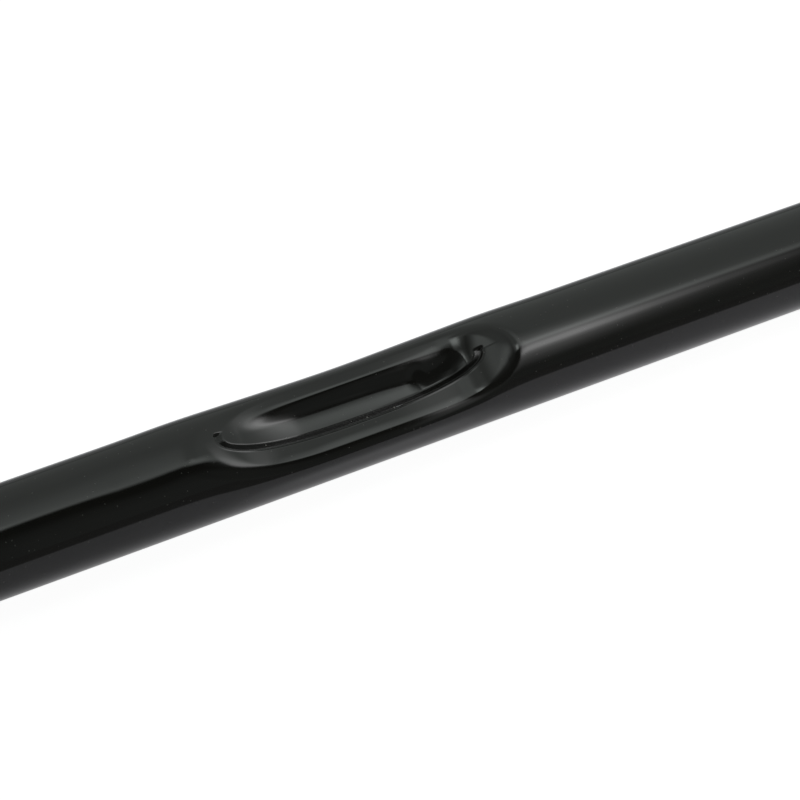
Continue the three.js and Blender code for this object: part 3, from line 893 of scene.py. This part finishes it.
def joinRings(mesh, one, two):
    count = max(len(one), len(two))
    for k in range(count):
        n = (k + 1) % count
        if len(one) == 1:
            mesh.faces.new((one[0], two[n], two[k]))
        elif len(two) == 1:
            mesh.faces.new((one[k], one[n], two[0]))
        else:
            mesh.faces.new((one[k], one[n], two[n], two[k]))


def barSection(x, halfY, halfZ, corner, steps=8):
    # one ring of points round a bar: a rectangle with rounded corners
    ring = []
    corner = min(corner, halfY, halfZ)
    for quarter, (sy, sz) in enumerate(((1, 1), (-1, 1), (-1, -1), (1, -1))):
        for k in range(steps + 1):
            angle = math.pi / 2 * (quarter + k / steps)
            y = sy * (halfY - corner) + corner * math.cos(angle)
            z = sz * (halfZ - corner) + corner * math.sin(angle)
            ring.append((x, y, z))
    return ring


def drawn(sections, centre=(0, 0, 0)):
    # joins sections, closed by flat ends
    mesh = bmesh.new()
    shift = Vector(centre)
    rings = [[mesh.verts.new(Vector(point) + shift) for point in section] for section in sections]
    for one, two in zip(rings, rings[1:]):
        joinRings(mesh, one, two)
    mesh.faces.new(rings[0])
    mesh.faces.new(rings[-1])
    bmesh.ops.remove_doubles(mesh, verts=mesh.verts[:], dist=1e-7)
    bmesh.ops.recalc_face_normals(mesh, faces=mesh.faces[:])
    return mesh


def hexKey(axis, centre, acrossFlats, start, end):
    radius = acrossFlats / math.sqrt(3)
    return turned([(start, 0), (start, radius), (end, radius), (end, 0)], axis, 6, centre)


def carve(piece, tools, operation="DIFFERENCE"):
    # cuts the tool shapes out of a piece, or adds them to it, and keeps the result as its mesh
    for tool in tools:
        other = finishMesh("tool", tool, piece.data.materials[0])
        cut = piece.modifiers.new("cut", "BOOLEAN")
        cut.operation = operation
        cut.solver = "EXACT"
        cut.object = other
        graph = bpy.context.evaluated_depsgraph_get()
        done = bpy.data.meshes.new_from_object(piece.evaluated_get(graph))
        piece.modifiers.clear()
        piece.data = done
        bpy.data.objects.remove(other)
    return piece


def softenEdges(piece, width, angle=32, segments=3):
    # a small even bevel on every sharp edge, with the flat faces left shaded flat
    mesh = bmesh.new()
    mesh.from_mesh(piece.data)
    bmesh.ops.remove_doubles(mesh, verts=mesh.verts[:], dist=1e-6)
    mesh.to_mesh(piece.data)
    mesh.free()
    piece.data.polygons.foreach_set("use_smooth", [True] * len(piece.data.polygons))
    bevel = piece.modifiers.new("softEdges", "BEVEL")
    bevel.width = width
    bevel.segments = segments
    bevel.limit_method = "ANGLE"
    bevel.angle_limit = math.radians(angle)
    bevel.harden_normals = True
    bevel.use_clamp_overlap = True
    piece.data.set_sharp_from_angle(angle=math.radians(40))
    even = piece.modifiers.new("evenShading", "WEIGHTED_NORMAL")
    even.keep_sharp = True


hingeCentre = (hingeX, 0, axisHeight)


# the hinged head: eye, neck, socket stop and square; its places are counted from the hinge

head = {
    "eye": 17.5 * mm,
    "halfThick": 10.5 * mm,
    "bore": 6.6 * mm,
    "rimRound": 1.3 * mm,
    "neckLong": 24.8 * mm,
    "neckHalfWide": 14.7 * mm,
    "neckWaist": 2.0 * mm,      # how much narrower the neck gets towards the stop
    "stop": 14 * mm,
    "stopFrom": -25.4 * mm,
    "stopTo": -30 * mm,
    "stopBack": 11.6 * mm,      # radius of the stop's back, where it meets the neck
    "square": 19.05 * mm,
    "squareCorner": 1.6 * mm,
    "tip": -55 * mm,
    "tipChamfer": 1.5 * mm,
    "ballHole": 2.95 * mm,      # rim that keeps the ball in
    "ballBore": 3.35 * mm,
    "ballX": -43 * mm,
}


def makeHead():
    half, thick, bore = head["square"] / 2, head["halfThick"], head["bore"]
    outline = [(-thick, 0), (-thick, head["eye"]), (thick, head["eye"]), (thick, 0)]
    eye = turned(roundCorners(outline, head["rimRound"]), "Z", 128, hingeCentre)
    neck = []
    for k in range(25):
        t = k / 24
        x = -1 * mm - t * head["neckLong"]
        width = head["neckHalfWide"] - head["neckWaist"] * ease(0, 0.62, t) + 0.9 * mm * ease(0.75, 1, t)
        height = thick - 0.02 * mm + 1.0 * mm * ease(0.72, 1, t)
        neck.append(barSection(x, width, height, (2.6 + 8.4 * ease(0.3, 1, t)) * mm))
    edge, back = head["stop"], head["stopFrom"]
    outline = [(head["stopTo"], 0), (head["stopTo"], edge), (back + 0.4 * mm, edge),
               (back + 2.6 * mm, head["stopBack"]), (back + 2.6 * mm, 0)]
    stop = turned(roundCorners(outline, 0.7 * mm), "X", 128, hingeCentre)
    chamfer, corner, tip = head["tipChamfer"], head["squareCorner"], head["tip"]
    eased = half - 0.42 * chamfer
    square = [barSection(head["stopTo"] + 1 * mm, half, half, corner),
              barSection(tip + chamfer, half, half, corner),
              barSection(tip + 0.5 * chamfer, eased, eased, corner * 0.85),
              barSection(tip, half - chamfer, half - chamfer, corner * 0.6)]
    piece = finishMesh("forgedHead", eye, satinChrome)
    carve(piece, [drawn(neck, hingeCentre), stop, drawn(square, hingeCentre)], "UNION")
    through = turned([(-12 * mm, 0), (-12 * mm, bore + 1.1 * mm), (-10 * mm, bore), (10 * mm, bore),
                      (12 * mm, bore + 1.1 * mm), (12 * mm, 0)], "Z", 64, hingeCentre)
    rim, wide = head["ballHole"], head["ballBore"]
    outline = [(-5 * mm, 0), (-5 * mm, wide), (half - 0.9 * mm, wide), (half - 0.5 * mm, rim),
               (half - 0.15 * mm, rim), (half + 0.6 * mm, rim + 0.7 * mm), (half + 0.6 * mm, 0)]
    ballSeat = turned(outline, "Z", 48, (hingeX + head["ballX"], 0, axisHeight))
    carve(piece, [through, ballSeat])
    softenEdges(piece, 0.35 * mm)
    settle(piece, "head", "drive_tang")


makeHead()

ballLow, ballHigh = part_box("socket_ball")
ballMiddle = (ballLow + ballHigh) / 2
ballRadius = (ballHigh.z - ballLow.z) / 2
arc = [(-ballRadius, 0)]
for k in range(1, 32):
    turn = math.pi * k / 32
    arc.append((-ballRadius * math.cos(turn), ballRadius * math.sin(turn)))
arc.append((ballRadius, 0))
ball = finishMesh("retainingBall", turned(arc, "Z", 64, ballMiddle), groundSteel)
settle(ball, "ball", "socket_ball")


# the forged fork: two ears, a waist that turns round, and the shank inside the tube

fork = {
    "nose": 19 * mm,
    "halfHeight": 20 * mm,
    "rimRound": 2.2 * mm,
    "slotHalf": 11.7 * mm,
    "slotEnd": 18.3 * mm,
    "bodyEnd": 46 * mm,
    "shoulder": 15.6 * mm,
    "shank": 10.6 * mm,
    "shankEnd": 240 * mm,
    "seat": (9.8 * mm, 6 * mm),     # counterbore for the screw's head: radius, depth
    "tapped": 5.3 * mm,
    "plungerHole": 3.6 * mm,
    "grubHole": (2.3 * mm, -15.85 * mm),    # radius, height from the bar's centreline
}


def makeFork():
    nose, high, rim = fork["nose"], fork["halfHeight"], fork["rimRound"]
    block = [barSection(0, nose, high, rim)]
    for k in range(1, 41):
        x = fork["bodyEnd"] * k / 40
        t = ease(24 * mm, fork["bodyEnd"], x)
        width = nose - 2.0 * mm * ease(0, 38 * mm, x)
        width += (fork["shoulder"] - width) * ease(30 * mm, 46 * mm, x)
        height = high + (fork["shoulder"] - high) * t
        corner = rim + (fork["shoulder"] - rim) * ease(16 * mm, fork["bodyEnd"], x)
        block.append(barSection(x, width, height, corner))
    mouth, collar = tubeStart - hingeX, fork["shoulder"]
    block.append(barSection(mouth - 1 * mm, collar, collar, collar))
    block.append(barSection(mouth - 0.3 * mm, collar - 0.7 * mm, collar - 0.7 * mm, collar))
    piece = finishMesh("forgedFork", drawn(block, hingeCentre), satinChrome)
    roundNose = roundCorners([(-high, 0), (-high, nose), (high, nose), (high, 0)], rim, steps=8)
    carve(piece, [turned(roundNose, "Z", 128, hingeCentre)], "UNION")
    half, bottom, corner = fork["slotHalf"], fork["slotEnd"], 0.9 * mm
    slot = [barSection(-nose - 3 * mm, 2 * nose, half, corner),
            barSection(bottom - corner, 2 * nose, half, corner),
            barSection(bottom - 0.25 * mm, 2 * nose, half - 0.25 * mm, corner),
            barSection(bottom, 2 * nose, half - corner, corner)]
    seatRadius, seatDepth = fork["seat"]
    bore, tapped, hole = head["bore"], fork["tapped"], fork["plungerHole"]
    upper = turned([(0, 0), (0, bore), (high - seatDepth, bore), (high - seatDepth, seatRadius),
                    (high - 0.8 * mm, seatRadius), (high + 0.5 * mm, seatRadius + 1.3 * mm),
                    (high + 0.5 * mm, 0)], "Z", 96, hingeCentre)
    lower = turned([(-high - 0.5 * mm, 0), (-high - 0.5 * mm, tapped + 1.3 * mm),
                    (-high + 0.8 * mm, tapped), (0, tapped), (0, 0)], "Z", 64, hingeCentre)
    outline = [(14 * mm, 0), (14 * mm, hole), (38 * mm, hole), (38 * mm, 0)]
    plungerHole = turned(outline, "X", 48, hingeCentre)
    grubRadius, grubHeight = fork["grubHole"]
    grubHole = turned([(2 * mm, 0), (2 * mm, grubRadius), (18.4 * mm, grubRadius),
                       (20 * mm, grubRadius + 1.6 * mm), (20 * mm, 0)],
                      "Y", 40, (hingeX, 0, axisHeight + grubHeight))
    carve(piece, [drawn(slot, hingeCentre), upper, lower, plungerHole, grubHole])
    softenEdges(piece, 0.4 * mm)
    settle(piece, "handle", "fork")


def makeShank():
    # the dent is pressed into the shank too
    angles = ringAngles()[::4]
    start, end = tubeStart - 0.25 * mm, hingeX + fork["shankEnd"]
    mesh = bmesh.new()
    rings = []
    for x in ringPlaces(start, end, 4):
        radius = fork["shank"] - max(0.0, x - end + 2 * mm)
        rings.append([mesh.verts.new(wallPoint(x, angle, radius)[0]) for angle in angles])
    for one, two in zip(rings, rings[1:]):
        joinRings(mesh, one, two)
    mesh.faces.new(rings[0])
    mesh.faces.new(rings[-1])
    bmesh.ops.recalc_face_normals(mesh, faces=mesh.faces[:])
    return finishMesh("forkShank", mesh, satinChrome, sharp=40)


makeFork()
shankPiece = makeShank()
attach(shankPiece, "handle")
print("shank made:", len(shankPiece.data.polygons), "faces")


# the hinge's screws and washers, and the plunger that drags on the eye

screw = {
    "top": 19.4 * mm,
    "underHead": 14.3 * mm,
    "head": 9.4 * mm,
    "shoulder": 6.3 * mm,
    "thread": 5 * mm,
    "key": 8 * mm,
    "pitch": 1.5 * mm,
}


def makeHingeScrew():
    slotHalf, top, thread = fork["slotHalf"], screw["top"], screw["thread"]
    under, wide, shoulder = screw["underHead"], screw["head"], screw["shoulder"]
    profile = [(-top, 0), (-top, thread - 1 * mm)]
    place = -top + 0.6 * mm
    while place < -slotHalf - 1.2 * mm:
        profile += [(place, thread - 0.75 * mm), (place + 0.5 * screw["pitch"], thread)]
        place += screw["pitch"]
    profile += [(-slotHalf - 0.5 * mm, thread - 0.6 * mm), (-slotHalf + 0.1 * mm, thread - 0.6 * mm)]
    profile += [(-slotHalf + 0.5 * mm, shoulder), (under, shoulder)]
    profile += [(under, wide), (top - 0.5 * mm, wide), (top, wide - 0.8 * mm)]
    profile += [(top, 5.4 * mm), (top - 0.5 * mm, 4.9 * mm), (top - 0.5 * mm, 0)]
    turning = turned(roundCorners(profile, 0.2 * mm, steps=2), "Z", 96, hingeCentre)
    piece = finishMesh("hingeScrew", turning, blackOxide)
    carve(piece, [hexKey("Z", hingeCentre, screw["key"], top - 3.6 * mm, top + 1 * mm)])
    softenEdges(piece, 0.12 * mm, segments=2)
    settle(piece, "handle", "hinge_screw")


def makeLockScrew():
    radius, height = fork["grubHole"]
    centre = (hingeX, 0, axisHeight + height)
    profile = [(5.3 * mm, 0), (5.3 * mm, 1.2 * mm), (6.2 * mm, 2 * mm), (17.4 * mm, 2 * mm),
               (17.8 * mm, 1.6 * mm), (17.8 * mm, 0)]
    turning = turned(roundCorners(profile, 0.1 * mm, steps=2), "Y", 40, centre)
    piece = finishMesh("hingeLockScrew", turning, blackOxide)
    carve(piece, [hexKey("Y", centre, 2 * mm, 15.8 * mm, 18.5 * mm)])
    softenEdges(piece, 0.05 * mm, segments=2)
    settle(piece, "handle", "hinge_lock_screw")


def makeWasher(name, side):
    low, high = 10.7 * mm * side, 11.5 * mm * side
    outline = [(low, 6.6 * mm), (low, 15 * mm), (high, 15 * mm), (high, 6.6 * mm)]
    ring = turned(roundCorners(outline, 0.15 * mm, closed=True, steps=3), "Z", 96, hingeCentre)
    settle(finishMesh("thrustWasher", ring, groundSteel, sharp=40), "handle", name)


def makePlunger():
    profile = [(17.8 * mm, 0), (17.9 * mm, 0.8 * mm), (18.3 * mm, 1.7 * mm), (19.0 * mm, 2.5 * mm),
               (20 * mm, 3.2 * mm), (26.8 * mm, 3.2 * mm), (26.8 * mm, 0)]
    turning = turned(roundCorners(profile, 0.3 * mm), "X", 48, hingeCentre)
    piece = finishMesh("dragPlunger", turning, groundSteel, sharp=50)
    settle(piece, "plunger", "friction_plunger")


makeHingeScrew()
makeLockScrew()
makeWasher("thrust_washer_top", 1)
makeWasher("thrust_washer_bottom", -1)
makePlunger()


# the grip: steel collar, ribbed rubber sleeve, plug, end cap and its screw

grip = {
    "front": 386 * mm,
    "inner": 14.3 * mm,
    "radius": 17.5 * mm,
    "flange": 18.6 * mm,
    "grooves": 7,
    "firstGroove": 403 * mm,
    "pitch": 17 * mm,
    "grooveDepth": 1.1 * mm,
    "flutes": 12,
    "fluteDepth": 0.45 * mm,
    "end": 541 * mm,
}


def gripRadius(x, radius, angle):
    # shallow flutes along the panels between the grooves
    if radius < grip["radius"] - 1.5 * mm:
        return radius
    first = grip["firstGroove"]
    last = first + (grip["grooves"] - 1) * grip["pitch"]
    if not first < x < last:
        return radius
    place = ((x - first) / grip["pitch"]) % 1
    panel = ease(0.2, 0.34, place) * (1 - ease(0.66, 0.8, place))
    flute = (0.5 + 0.5 * math.cos(angle * grip["flutes"])) ** 2
    return radius - grip["fluteDepth"] * panel * flute


def makeGrip():
    front, inner, radius, end = grip["front"], grip["inner"], grip["radius"], grip["end"]
    flange, pitch = grip["flange"], grip["pitch"]
    deep = radius - grip["grooveDepth"]
    outline = [(front, inner), (front, flange), (front + 5.4 * mm, flange), (front + 8 * mm, radius)]
    for k in range(grip["grooves"]):
        middle = grip["firstGroove"] + k * pitch
        outline += [(middle - 2.2 * mm, radius), (middle - 0.9 * mm, deep)]
        outline += [(middle + 0.9 * mm, deep), (middle + 2.2 * mm, radius)]
        if k < grip["grooves"] - 1:
            for n in range(1, 14):
                outline.append((middle + 2.2 * mm + (pitch - 4.4 * mm) * n / 14, radius))
    outline += [(end, radius), (end, inner)]
    rounded = roundCorners(outline, 0.8 * mm, closed=True, steps=4)
    sleeve = turned(rounded, "X", 144, hingeCentre, gripRadius)
    piece = finishMesh("ribbedSleeve", sleeve, ribbedRubber, sharp=60)
    settle(piece, "handle", "grip_sleeve")


def makeRing(name, outline, radius, steps, segments, material, sharp):
    rounded = roundCorners(outline, radius, closed=True, steps=steps)
    return finishMesh(name, turned(rounded, "X", segments, hingeCentre), material, sharp=sharp)


def makeCollar():
    inner, start, end = grip["inner"], grip["front"] - 6.3 * mm, grip["front"] - 0.3 * mm
    outer, groove = inner + 2.2 * mm, inner + 1.8 * mm
    outline = [(start, inner), (start, inner + 1 * mm), (start + 1.5 * mm, outer), (start + 3 * mm, outer),
               (start + 3.3 * mm, groove), (start + 3.7 * mm, groove), (start + 4 * mm, outer),
               (end, outer), (end, inner)]
    piece = makeRing("gripCollar", outline, 0.3 * mm, 3, 128, groundSteel, 50)
    settle(piece, "handle", "grip_collar")


def makePlug():
    start, end, radius, bore = 511 * mm, 540.5 * mm, 10.7 * mm, 2.8 * mm
    outline = [(start, bore), (start, radius - 1.5 * mm), (start + 1.5 * mm, radius),
               (end, radius), (end, bore)]
    piece = makeRing("threadedPlug", outline, 0.3 * mm, 3, 64, groundSteel, 40)
    settle(piece, "handle", "tube_plug")


def makeCap():
    start, end, radius, bore = grip["end"] + 0.3 * mm, 555 * mm, 20 * mm, 2.9 * mm
    groove = radius - 0.4 * mm
    outline = [(start, bore), (start, radius - 1.1 * mm), (start + 1.1 * mm, radius),
               (start + 2.6 * mm, radius), (start + 3 * mm, groove), (start + 3.6 * mm, groove),
               (start + 4 * mm, radius),
               (end - 6 * mm, radius), (end - 2.4 * mm, 18.4 * mm), (end - 0.6 * mm, 15.6 * mm),
               (end, 12 * mm), (end, 5.4 * mm), (end - 3.2 * mm, bore)]
    piece = makeRing("endCap", outline, 1.4 * mm, 6, 144, mouldedPlastic, 60)
    settle(piece, "handle", "end_cap")


def makeCapScrew():
    top = 554.6 * mm
    profile = [(521 * mm, 0), (521 * mm, 1.8 * mm), (522 * mm, 2.5 * mm), (top - 2.8 * mm, 2.5 * mm),
               (top - 0.3 * mm, 4.95 * mm), (top, 4.9 * mm), (top, 0)]
    turning = turned(roundCorners(profile, 0.15 * mm, steps=2), "X", 64, hingeCentre)
    piece = finishMesh("capScrew", turning, blackOxide)
    carve(piece, [hexKey("X", hingeCentre, 3 * mm, top - 2 * mm, top + 1 * mm)])
    softenEdges(piece, 0.08 * mm, segments=2)
    settle(piece, "handle", "cap_screw")


makeCollar()
makeGrip()
makePlug()
makeCap()
makeCapScrew()


# the two springs, wound from bright wire at the length of their frame boxes; in the tool each shortens as
# its pin is pressed in

springs = {
    "ball": {"node": "socket_ball_spring", "body": "head", "joint": "socket_ball_press", "axis": "Z",
             "wire": 0.35 * mm, "turns": 5, "press": 1.2 * mm, "heldAtTop": False},
    "plunger": {"node": "friction_spring", "body": "handle", "joint": "friction_plunger_press", "axis": "X",
                "wire": 0.45 * mm, "turns": 5, "press": 2 * mm, "heldAtTop": True},
}


def makeSpring(name, chosen):
    low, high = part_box(chosen["node"])
    wire = chosen["wire"]
    steps = chosen["turns"] * 36
    if chosen["axis"] == "Z":
        along, u, v = Vector((0, 0, 1)), Vector((1, 0, 0)), Vector((0, 1, 0))
    else:
        along, u, v = Vector((1, 0, 0)), Vector((0, 1, 0)), Vector((0, 0, 1))
    start, end = low.dot(along), high.dot(along)
    middle = (low + high) / 2
    foot = middle - along * (middle.dot(along) - start)
    coil = (high - low).dot(u) / 2 - wire
    around = [k * math.tau / 14 for k in range(14)]
    rings = []
    for i in range(steps + 1):
        turn = i / 36 * math.tau
        outward = u * math.cos(turn) + v * math.sin(turn)
        place = foot + outward * coil + along * (wire + (end - start - 2 * wire) * i / steps)
        rings.append([place + (outward * math.cos(a) + along * math.sin(a)) * wire for a in around])
    spring = finishMesh(name + "Spring", drawn(rings), springWire, sharp=60)
    settle(spring, chosen["body"], chosen["node"])
    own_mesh(spring)


for name, chosen in springs.items():
    makeSpring(name, chosen)
print("springs finished")
